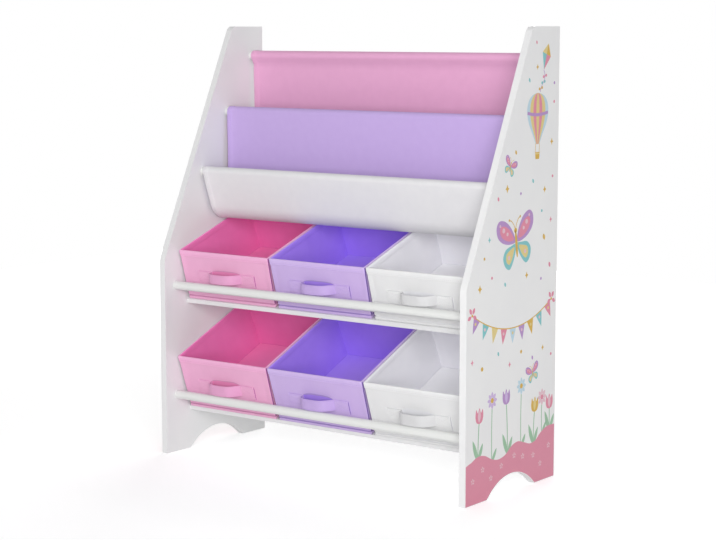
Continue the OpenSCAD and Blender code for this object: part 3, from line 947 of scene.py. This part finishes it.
def upper_pocket():
    """The pink rear wall and the purple front wall, which meet in a seam at the bottom."""
    front_y = ROD_B.x - SLEEVE_R
    rear_y = ROD_A.x
    radius = (rear_y - front_y) / 2
    centre = Vector((front_y + radius, UPPER_POCKET_Z + CLOTH_T / 2 + radius))
    down = Vector((0, -1))
    free = hanging(80 * MM, 10 * MM)

    meet = Vector((front_y, ROD_B.y)) + down * SLEEVE_SEAM
    tail = meet + Vector((CLOTH_T * TAIL_IN, 0))
    purple = [tail + down * SEAM_LAP, tail] + round_rod(ROD_B, tail, meet, 1)
    purple += arc(centre, radius, 180, 270, 16)
    cloth_piece("middle", "purple", purple, free)

    meet = Vector((rear_y, ROD_A.y)) + down * SLEEVE_SEAM
    tail = meet + Vector((CLOTH_T * TAIL_IN, 0))
    pink = [tail + down * SEAM_LAP, tail] + round_rod(ROD_A, tail, meet, 1) + [meet]
    pink += arc(centre, radius, 360, 270, 16)
    cloth_piece("back", "pink", pink, free)


def lower_pocket():
    """The white pocket between the low front rod and the low rear rod."""
    lean_n = Vector((-math.cos(POCKET_LEAN), -math.sin(POCKET_LEAN)))
    down = Vector((math.sin(POCKET_LEAN), -math.cos(POCKET_LEAN)))
    lean_top = ROD_C + lean_n * SLEEVE_R
    bottom = LOWER_POCKET + Vector((0, CLOTH_T / 2))
    gap = bottom - lean_top
    sunk = gap.x * math.cos(POCKET_LEAN) + gap.y * math.sin(POCKET_LEAN)
    radius = sunk / (1 - math.sin(POCKET_LEAN))
    rear_c = bottom + Vector((0, POCKET_REAR_R))
    reach = ROD_D - rear_c
    rise = math.atan2(reach.y, reach.x) + math.asin((POCKET_REAR_R - SLEEVE_R) / reach.length)
    up = Vector((math.cos(rise), math.sin(rise)))

    meet = lean_top + down * SLEEVE_SEAM
    tail = meet - lean_n * CLOTH_T * TAIL_IN
    white = [tail + down * SEAM_LAP, tail] + round_rod(ROD_C, tail, meet, 1)
    white += arc(bottom + Vector((0, radius)), radius, 180 + math.degrees(POCKET_LEAN), 270, 14)
    white += arc(rear_c, POCKET_REAR_R, 270, 270 + math.degrees(rise), 8)[1:]
    rear_n = Vector((up.y, -up.x))
    rear_meet = ROD_D + rear_n * SLEEVE_R - up * SLEEVE_SEAM
    rear_tail = rear_meet - rear_n * CLOTH_T * TAIL_IN
    white += reversed(round_rod(ROD_D, rear_tail, rear_meet, -1))
    white += [rear_tail, rear_tail - up * SEAM_LAP]
    cloth_piece("front", "white", white, hanging(70 * MM, 120 * MM))


upper_pocket()
lower_pocket()


# bins


class Bin:
    """One cloth bin: its place in the row and the outline of its walls."""

    def __init__(self, row, column):
        self.row, self.colour = row, COLOURS[column]
        self.name = row.name + "_" + self.colour
        self.body = self.name + "_bin"
        low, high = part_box(self.name + "_rim")
        self.x = (low.x + high.x) / 2
        self.w = high.x - low.x
        self.seed = column * 7.3 + (0 if row.name == "upper" else 31.7)

    def outline(self, z, inset):
        """Points round the bin at height z, inset from its nominal faces.

        Each comes with its outward normal, its share of the way along its side and its depth of crease.
        """
        x1 = self.w / 2 - inset - BIN_TAPER * (1 - z / self.row.bin_h)
        y0, y1 = self.row.slant * z - self.row.belly + inset, BIN_DEPTH - inset
        r = max(0.15 * MM, BIN_CORNER_R - inset)
        corners = ((x1 - r, y0 + r, -90), (x1 - r, y1 - r, 0), (-x1 + r, y1 - r, 90), (-x1 + r, y0 + r, 180))
        found = []
        for i, (cx, cy, start) in enumerate(corners):
            for step in range(6):
                a = math.radians(start + 90 * step / 5)
                n = Vector((math.cos(a), math.sin(a)))
                found.append((Vector((cx, cy)) + n * r, n, 0.0, 0.0))
            after = corners[(i + 1) % 4]
            first, last = found[-1][0], Vector(after[:2]) + n * r
            length = (last - first).length
            half = [(CORNER_FADE, 0), (CORNER_SHADE_W, 0), (CREASE_IN - CREASE_W, 0), (CREASE_IN, 1)]
            half += [(CREASE_IN + CREASE_W, 0)] + [(length * k / 12, 0) for k in range(2, 6)]
            half += [(length / 2 - CREASE_W, 0)]
            middle = (length / 2, 0 if i % 2 else 0.8)
            marks = half + [middle] + [(length - m, c) for m, c in half[::-1]]
            found += [(first.lerp(last, m / length), n, m / length, c) for m, c in marks]
        return found

    def ring(self, z, inset, bow=0.0, crease=0.0, lift=0.0):
        """The outline at height z in the rack's frame, with the walls' soft bow and their fold creases."""
        points = []
        for p, n, share, fold in self.outline(z, inset):
            swell = bow * math.sin(math.pi * share)
            soft = WALL_WAVE * noise.noise((p.x * 16 + self.seed, p.y * 16, z * 14)) * min(1.0, z / (20 * MM))
            q = p + n * (swell + soft * (1 if bow else 0.6) - crease * fold)
            up = lift * noise.noise((p.x * 9 + self.seed, p.y * 9, 5.5))
            points.append(self.row.place(self.x + q.x, q.y, z + up))
        return points

    def finish(self, build, piece, tones, node, smooth=50, slot="nonwoven"):
        """Makes one of the bin's pieces from its cloths and painted shades, for the CAD node it stands for.
        """
        obj = build.piece(self.name + "_" + piece, [tone[self.colour] for tone in tones], smooth)
        settle(obj, self.body, self.colour + "_" + slot, self.name + "_" + node)


def in_corner_shade(k, size):
    """Whether face k of a ring of size points lies in the band at a side wall's end that takes the painted
    shade of the gap between neighbouring bins.
    """
    per_side = size // 4
    side, within = divmod(k, per_side)
    return within in ((0, 1) if side % 2 else (3, 4, 5, 6, per_side - 2, per_side - 1))


def bin_shell(box):
    """Walls and bottom: cloth over card, with a sewn seam round the base and fold creases inside. The inside
    is painted shade, the seam's groove a darker line of painted shade, and each side wall's ends a deep
    painted shade for the gap between bins.
    """
    cloth, inside, groove_shade, corner = range(4)
    h = box.row.bin_h

    def wall(z, inset, crease):
        return box.ring(z, inset, bow=WALL_BOW * math.sin(math.pi * min(1.0, z / h)), crease=crease)

    # rings as height and inset in millimetres: the rounded foot, and the groove above and below its seam
    foot = ((0, 2.6), (0.25, 1.1), (1.1, 0.25), (3, -0.15))
    groove = ((-1.8, -0.2), (-1.2, 0.1), (-0.9, 1.3), (0.9, 1.3), (1.2, 0.2), (1.9, 0.0))
    groove_shade_rows = range(len(foot) + 1, len(foot) + len(groove) - 2)
    rings = [box.ring(z * MM, RIM_T + inset * MM) for z, inset in foot]
    rings += [box.ring(BASE_SEAM_Z + z * MM, RIM_T + inset * MM) for z, inset in groove]
    heights = [z * MM for z in (12, 20, 32, 46, 60, 72)] + [h - RIM_T - 4 * MM, h - RIM_T]
    rings += [wall(z, RIM_T, OUTER_CREASE) for z in heights]
    outside = len(rings)
    inner = RIM_T + WALL_T
    rings += [wall(z, inner, INNER_CREASE) for z in heights[::-1] + [6 * MM]]
    rings.append(box.ring(BIN_FLOOR_T + 0.8 * MM, inner + 0.2 * MM))
    rings.append(box.ring(BIN_FLOOR_T, inner + 1.2 * MM))
    size = len(rings[0])
    shades = []
    for level in range(len(rings) - 1):
        plain = inside if level >= outside else groove_shade if level in groove_shade_rows else cloth
        takes_corner_shade = groove_shade_rows.stop <= level < outside
        shades += [corner if takes_corner_shade and in_corner_shade(k, size) else plain for k in range(size)]
    build = Build()
    build.put(sum(rings, []), capped_faces(len(rings), size), shades + [cloth, inside])
    box.finish(build, "bin_walls", (BIN_CLOTH, INSIDE_PAINTED_SHADE_AND_LIGHT, MID_PAINTED_SHADE, DEEP_PAINTED_SHADE), "shell")


def rim_binding(box):
    """Strip of cloth folded over the rim and sewn through, with a stitch line near its lower edge. Its inner
    face takes the inside's painted shade, and its outer face the deep painted shade at the side walls' ends.
    """
    fold, sewn, inside, corner = range(4)
    outer_face, painted_inside_rows = range(2, 7), range(10, 14)
    h = box.row.bin_h
    low = h - RIM_H
    wall = RIM_T + WALL_T
    profile = [
        (low + 0.5 * MM, RIM_T + 0.1 * MM),
        (low, RIM_T - 0.35 * MM),
        (low + 0.25 * MM, 0.12 * MM),
        (low + 1.0 * MM, -0.05 * MM),
        (low + RIM_SEAM, 0.3 * MM),
        (low + 4.2 * MM, -0.1 * MM),
        (h - 2.5 * MM, 0.0),
        (h - 0.8 * MM, 0.2 * MM),
        (h - 0.15 * MM, 0.9 * MM),
        (h, wall / 2 + 0.3 * MM),
        (h - 0.15 * MM, wall - 0.1 * MM),
        (h - 0.8 * MM, wall + 0.6 * MM),
        (h - 2.5 * MM, wall + 0.8 * MM),
        (low + 1.0 * MM, wall + 0.8 * MM),
        (low, wall + 0.45 * MM),
        (low + 0.5 * MM, wall - 0.1 * MM),
        (h - 2.0 * MM, wall - 0.1 * MM),
        (h - 1.2 * MM, wall / 2 + 0.4 * MM),
        (h - 2.0 * MM, RIM_T + 0.1 * MM),
    ]
    rings = [box.ring(z, inset, lift=RIM_WAVE) for z, inset in profile]
    size = len(rings[0])
    shades = []
    for level in range(len(rings)):
        plain = inside if level in painted_inside_rows else fold
        takes_corner_shade = level in outer_face
        shades += [corner if takes_corner_shade and in_corner_shade(k, size) else plain for k in range(size)]
    build = Build()
    build.put(sum(rings, []), ring_faces(len(rings), size, closed=True), shades)
    line = box.ring(low + RIM_SEAM, 0.25 * MM, lift=RIM_WAVE)
    wide = box.ring(low + RIM_SEAM, -3 * MM, lift=RIM_WAVE)
    out = [(b - a).normalized() for a, b in zip(line, wide)]
    build.put(*stitches(line + line[:1], out + out[:1]), sewn)
    box.finish(build, "rim_binding", (BINDING, THREAD, INSIDE_PAINTED_SHADE_AND_LIGHT, DEEP_PAINTED_SHADE), "rim")


def loop_path():
    """The strap's middle line seen from above: (x, out); it bulges to the left and runs out to the right."""
    high = LOOP_OUT - STRAP_T / 2
    points = []
    # a full, squarish curve up the left side, then a long tail down the right side
    for k in range(25):
        a = math.pi / 2 * k / 24
        points.append(Vector((-LOOP_LEFT * math.cos(a) ** (2 / 3.3), high * math.sin(a) ** (2 / 3.3))))
    for k in range(1, 25):
        t = k / 24
        points.append(Vector((LOOP_RIGHT * t, high * (1 - t**3.2) ** 1.15)))
    return points


def strap_handle(box):
    """Strap with a free loop that hangs level, and a stitched square patch over each end."""
    row = box.row
    foot = Vector((0, RIM_T - row.belly, 0))
    foot += Vector((0, math.sin(row.lean), math.cos(row.lean))) * row.strap_up

    def spot(x, out, w, hang=0.0):
        """A point x along the strap, out from the wall and w up its width; hang turns it level."""
        if w > STRAP_RAISED:
            w = STRAP_RAISED + (w - STRAP_RAISED) * row.strap_top
        a = row.lean + (row.tilt - row.lean) * LOOP_LIFTED * hang
        p = foot + Vector((x, -math.cos(a), math.sin(a))) * out + Vector((0, math.sin(a), math.cos(a))) * w
        return row.place(box.x + x, p.y, p.z)

    loop = [p + Vector((0, STRAP_LIES)) for p in loop_path()]
    ends = [Vector((PATCH_TO - 3 * MM - i * 4 * MM, STRAP_LIES)) for i in range(7)]
    path = [Vector((-p.x, p.y)) for p in ends] + loop
    path += [p for p in reversed(ends) if p.x > LOOP_RIGHT + 1 * MM]
    places = [(p, -n, smooth_between(0, 10 * MM, p.y)) for p, n in zip(path, normals_along(path))]
    # half of the strap's section, as shares of its half width and its thickness
    half_section = [(1.1, 0.1), (1.08, 0.32), (1.04, 0.36), (0.9, 0.36)]
    half_section += [(0.86, 0.28), (0.82, 0.36), (0.74, 0.37)]
    section = [(-w, t) for w, t in half_section] + [(0, 0.36)] + half_section[::-1]
    section = [(w * STRAP_W / 2, t * STRAP_T) for w, t in section]
    ring = section + [(w, -t) for w, t in reversed(section)]
    points = []
    for p, n, hang in places:
        points += [spot(p.x + n.x * t, p.y + n.y * t, w + STRAP_RAISED, hang) for w, t in ring]
    build = Build()
    build.put(points, capped_faces(len(path), len(ring)), STRAP)
    painted_loop_shadow(build, spot)
    for w in (STRAP_RAISED - STRAP_SEAM, STRAP_RAISED + STRAP_SEAM):
        line, out = [], []
        for p, n, hang in places:
            near, far = p + n * STRAP_T * 0.3, p + n * STRAP_T * 2
            line.append(spot(near.x, near.y, w, hang))
            out.append((spot(far.x, far.y, w, hang) - line[-1]).normalized())
        build.put(*stitches(line, out), SEWN)
    for side in (-1, 1):
        patch(build, side, spot)
    tones = (STRAP_CLOTH, THREAD, BIN_CLOTH, LOOP_PAINTED_SHADOW, MID_PAINTED_SHADE, DEEP_PAINTED_SHADE)
    box.finish(build, "strap_handle", tones, "handle")


def painted_loop_shadow(build, spot):
    """Thin strip on the wall behind the loop, coloured as the loop's painted shadow, with a paler band of
    painted shade that softens its arched top.
    """
    half = PATCH_FROM + 3 * MM
    count, size = 21, 6
    points = []
    for i in range(count):
        u = 2 * i / (count - 1) - 1
        top = STRAP_HIGH - 1 * MM + 4.6 * MM * (1 - u**4)
        band = top + 0.2 * MM + 2.4 * MM * (1 - u**4)
        section = [(STRAP_LOW, -0.2), (STRAP_LOW, 0.6), (STRAP_LOW + 0.5 * MM, 0.8)]
        section += [(top, 0.8), (band, 0.5), (band, -0.2)]
        points += [spot(half * u, out * MM, w) for w, out in section]
    shades = [SHADOW_FADE if k % size in (3, 4) else SHADOW_STRIP for k in range((count - 1) * size)]
    build.put(points, capped_faces(count, size), shades + [SHADOW_STRIP, SHADOW_STRIP])


def patch(build, side, spot):
    """Reinforcing square sewn over a strap's end: a thin pillow with a stitched border and cross."""
    nx, nw = 14, 10
    wide, tall = PATCH_TO - PATCH_FROM, PATCH_LOW + PATCH_HIGH
    top = STRAP_T * 0.95 + PATCH_T
    hem = 0.4 * MM
    grid, base = [], []
    for i in range(nx + 1):
        x = PATCH_TO if i == nx else PATCH_FROM + (wide - 0.15 * MM) * i / (nx - 1)
        for j in range(nw + 1):
            w = tall * j / nw - PATCH_LOW
            over = min(1.0, max(0.0, (w + PATCH_LOW) / (STRAP_LOW + PATCH_LOW)))
            over = min(over, max(0.0, (PATCH_HIGH - w) / (PATCH_HIGH - STRAP_HIGH + 1 * MM)))
            out = hem + (top - hem) * (0.65 if i == nx else 1.0) * (0.3 + 0.7 * over)
            grid.append(spot(side * x, out, w))
            base.append(spot(side * x, 0.0, w))
    size = nw + 1
    faces = []
    for i in range(nx):
        for j in range(nw):
            a = i * size + j
            faces.append((a, a + 1, a + size + 1, a + size))
            b = a + len(grid)
            faces.append((b, b + size, b + size + 1, b + 1))
    shades = [CLOTH] * len(faces)
    rim_path = [i * size for i in range(nx)] + [nx * size + j for j in range(nw)]
    rim_path += [i * size + nw for i in range(nx, 0, -1)] + [j for j in range(nw, 0, -1)]
    # the faces of the patch's outer end take the deep painted shade, the shadow along that edge
    for k, (a, b) in enumerate(zip(rim_path, rim_path[1:] + rim_path[:1])):
        faces.append((a, b, b + len(grid), a + len(grid)))
        shades.append(EDGE_SHADE if nx <= k < nx + nw else CLOTH)
    build.put(grid + base, faces, shades)
    inset = 2.4 * MM
    a0, a1 = PATCH_FROM + inset, PATCH_TO - inset
    w0, w1 = STRAP_LOW + 1 * MM, STRAP_HIGH - 1.5 * MM
    border = [(a0, w0), (a1, w0), (a1, w1), (a0, w1), (a0, w0)]
    lines = list(zip(border, border[1:])) + [((a0, w0), (a1, w1)), ((a0, w1), (a1, w0))]
    out = (spot(side * a0, 10 * MM, 0) - spot(side * a0, 0, 0)).normalized()
    for (xa, wa), (xb, wb) in lines:
        shares = [t / 8 for t in range(9)]
        line = [spot(side * (xa + (xb - xa) * t), top - 0.1 * MM, wa + (wb - wa) * t) for t in shares]
        build.put(*stitches(line, [out] * 9), SEWN)


def base_plate(box):
    """Stiff card covered with cloth that lies loose in the bin, its edges soft and a little lifted. The
    cover's colour is painted shade, deeper pink and purple than the walls' outside, and painted light, a
    paler white.
    """
    inset = RIM_T + WALL_T + PLATE_GAP
    z0 = BIN_FLOOR_T + 0.15 * MM
    profile = [(0.0, 1.2 * MM), (0.5 * MM, 0.2 * MM), (PLATE_T / 2, 0.0)]
    profile += [(PLATE_T - 0.5 * MM, 0.2 * MM), (PLATE_T - 0.1 * MM, 1.0 * MM)]
    profile += [(PLATE_T - 0.25 * MM, 3 * MM), (PLATE_T - 0.05 * MM, 9 * MM)]
    rings = [box.ring(z0 + z, inset + more) for z, more in profile]
    build = Build()
    build.put(sum(rings, []), capped_faces(len(rings), len(rings[0])))
    box.finish(build, "base_card", (CARD_PAINTED_SHADE_AND_LIGHT,), "plate", smooth=60, slot="plate")


for row in ROWS:
    for column in range(3):
        box = Bin(row, column)
        bin_shell(box)
        rim_binding(box)
        strap_handle(box)
        base_plate(box)


# floor, light and camera


def seen_directly(tree):
    """1 for rays from the camera, in reflections and through clear pieces, 0 for the light itself."""
    rays = add(tree, "ShaderNodeLightPath").outputs
    seen = rays["Is Camera Ray"]
    for other in (rays["Is Glossy Ray"], rays["Is Transmission Ray"]):
        seen = add(tree, "ShaderNodeMath", {0: seen, 1: other}, operation="MAXIMUM").outputs[0]
    return seen


def floor_material():
    """Pale studio floor: the rack's soft shadow shows near it, and the far floor fades to white."""
    material, tree, shader, place = start_material("studio_floor")
    away = add(tree, "ShaderNodeVectorMath", {0: place}, operation="LENGTH").outputs["Value"]
    reach = {"Value": away, "From Min": FADE_FROM, "From Max": FADE_TO, "To Min": FLOOR_LIFT, "To Max": 1.0}
    fade = add(tree, "ShaderNodeMapRange", reach, interpolation_type="SMOOTHSTEP").outputs["Result"]
    lift = add(tree, "ShaderNodeMath", {0: seen_directly(tree), 1: fade}, operation="MULTIPLY").outputs[0]
    feed(tree, shader, {
        "Base Color": srgb("#f2f2f2"),
        "Roughness": 0.9,
        "Specular IOR Level": 0.1,
        "Emission Color": srgb("#ffffff"),
        "Emission Strength": lift,
    })
    return material


def studio_floor():
    """A square floor, attached to none of the rack's bodies."""
    work = bmesh.new()
    corners = ((-1, -1), (1, -1), (1, 1), (-1, 1))
    work.faces.new([work.verts.new((x * FLOOR_HALF, y * FLOOR_HALF, 0)) for x, y in corners])
    make_piece("floor", work, [floor_material()], smooth=25)


def studio_world():
    """Even white surroundings: white to the camera, and a plain level of light for the rack."""
    world = bpy.data.worlds.new("studio")
    world.use_nodes = True
    bpy.context.scene.world = world
    tree = world.node_tree
    reach = {"Value": seen_directly(tree), "To Min": SKY_LEVEL, "To Max": 1.0}
    level = add(tree, "ShaderNodeMapRange", reach).outputs["Result"]
    feed(tree, tree.nodes["Background"], {"Color": srgb("#ffffff"), "Strength": level})


def soft_lamp(name, place, width, height, power):
    """A large area lamp that faces the rack."""
    lamp = bpy.data.lights.new(name, "AREA")
    lamp.shape = "RECTANGLE"
    lamp.size, lamp.size_y = width, height
    lamp.energy = power
    obj = bpy.data.objects.new(name, lamp)
    obj.location = place
    obj.rotation_euler = (Vector(LIT_POINT) - Vector(place)).to_track_quat("-Z", "Y").to_euler()
    bpy.context.scene.collection.objects.link(obj)


def photo_camera():
    """Camera at the photograph's place."""
    cam = bpy.data.cameras.new("camera")
    cam.sensor_width = CAMERA_SENSOR
    cam.lens = CAMERA_LENS
    obj = bpy.data.objects.new("camera", cam)
    obj.location = CAMERA_PLACE
    obj.rotation_euler = (math.radians(90 - CAMERA_DOWN), 0, math.radians(CAMERA_TURN))
    bpy.context.scene.collection.objects.link(obj)
    bpy.context.scene.camera = obj


studio_floor()
studio_world()
soft_lamp("front_light", *FRONT_LIGHT)
soft_lamp("back_light", *BACK_LIGHT)
photo_camera()
bpy.context.scene.view_settings.view_transform = "Standard"
